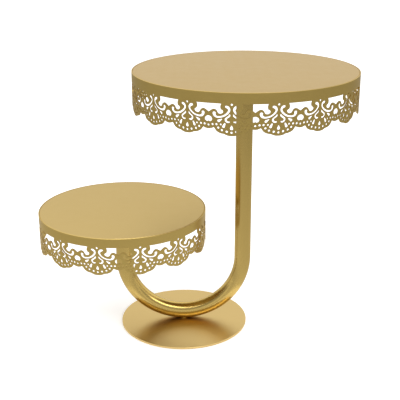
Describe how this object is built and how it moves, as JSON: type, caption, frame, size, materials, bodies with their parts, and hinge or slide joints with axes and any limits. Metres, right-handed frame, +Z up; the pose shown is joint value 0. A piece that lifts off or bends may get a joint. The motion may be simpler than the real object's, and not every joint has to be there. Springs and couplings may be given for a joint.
{
  "type": "tiered cake stand",
  "caption": "Tiered cake stand: round plates with pierced lace skirts, low and high, carried on the arms of one bent round tube that stands on a thin round base.",
  "frame": {"origin": "on the floor, under the centre of the round base", "axes": "+Z up; +X from the low plate towards the high plate, in the plane of the bent tube; -Y towards the viewer"},
  "size_m": [0.4335, 0.3, 0.367],
  "materials": {
    "champagne_gold": "satin metallic lacquer",
    "lace_gold": "satin metallic lacquer",
    "tube_gold": "satin metallic lacquer",
    "hub_gold": "satin metallic lacquer",
    "zinc_steel": "zinc plated",
    "plug_steel": "lacquered turned steel",
    "washer_rubber": "matt",
    "foam_pad": "matt foam"
  },
  "bodies": {
    "stand": {"post_tube": "tube_gold", "base_bush": "plug_steel", "base_plate": "champagne_gold", "base_screw": "zinc_steel", "base_pad": "foam_pad", "high_plug": "plug_steel", "low_plug": "plug_steel"},
    "high_ring": {"high_washer": "washer_rubber"},
    "high_tier": {"high_plate": "champagne_gold", "high_lace": "lace_gold", "high_hub": "hub_gold", "high_stud": "zinc_steel"},
    "low_ring": {"low_washer": "washer_rubber"},
    "low_tier": {"low_plate": "champagne_gold", "low_lace": "lace_gold", "low_hub": "hub_gold", "low_stud": "zinc_steel"}
  },
  "joints": [
    {"name": "high_rise", "type": "slide", "parent": "stand", "child": "high_ring", "axis": [0, 0, 1], "range_m": [0, 0.0126]},
    {"name": "high_turn", "type": "hinge", "parent": "high_ring", "child": "high_tier", "pos_m": [0.084, 0, 0.36], "axis": [0, 0, 1], "range_deg": [0, 3600]},
    {"name": "low_rise", "type": "slide", "parent": "stand", "child": "low_ring", "axis": [0, 0, 1], "range_m": [0, 0.0126]},
    {"name": "low_turn", "type": "hinge", "parent": "low_ring", "child": "low_tier", "pos_m": [-0.084, 0, 0.168], "axis": [0, 0, 1], "range_deg": [0, 3600]}
  ],
  "couplings": [
    {"joint": "high_rise", "follows": "high_turn", "m_per_rad": 0.00019894},
    {"joint": "low_rise", "follows": "low_turn", "m_per_rad": 0.00019894}
  ]
}
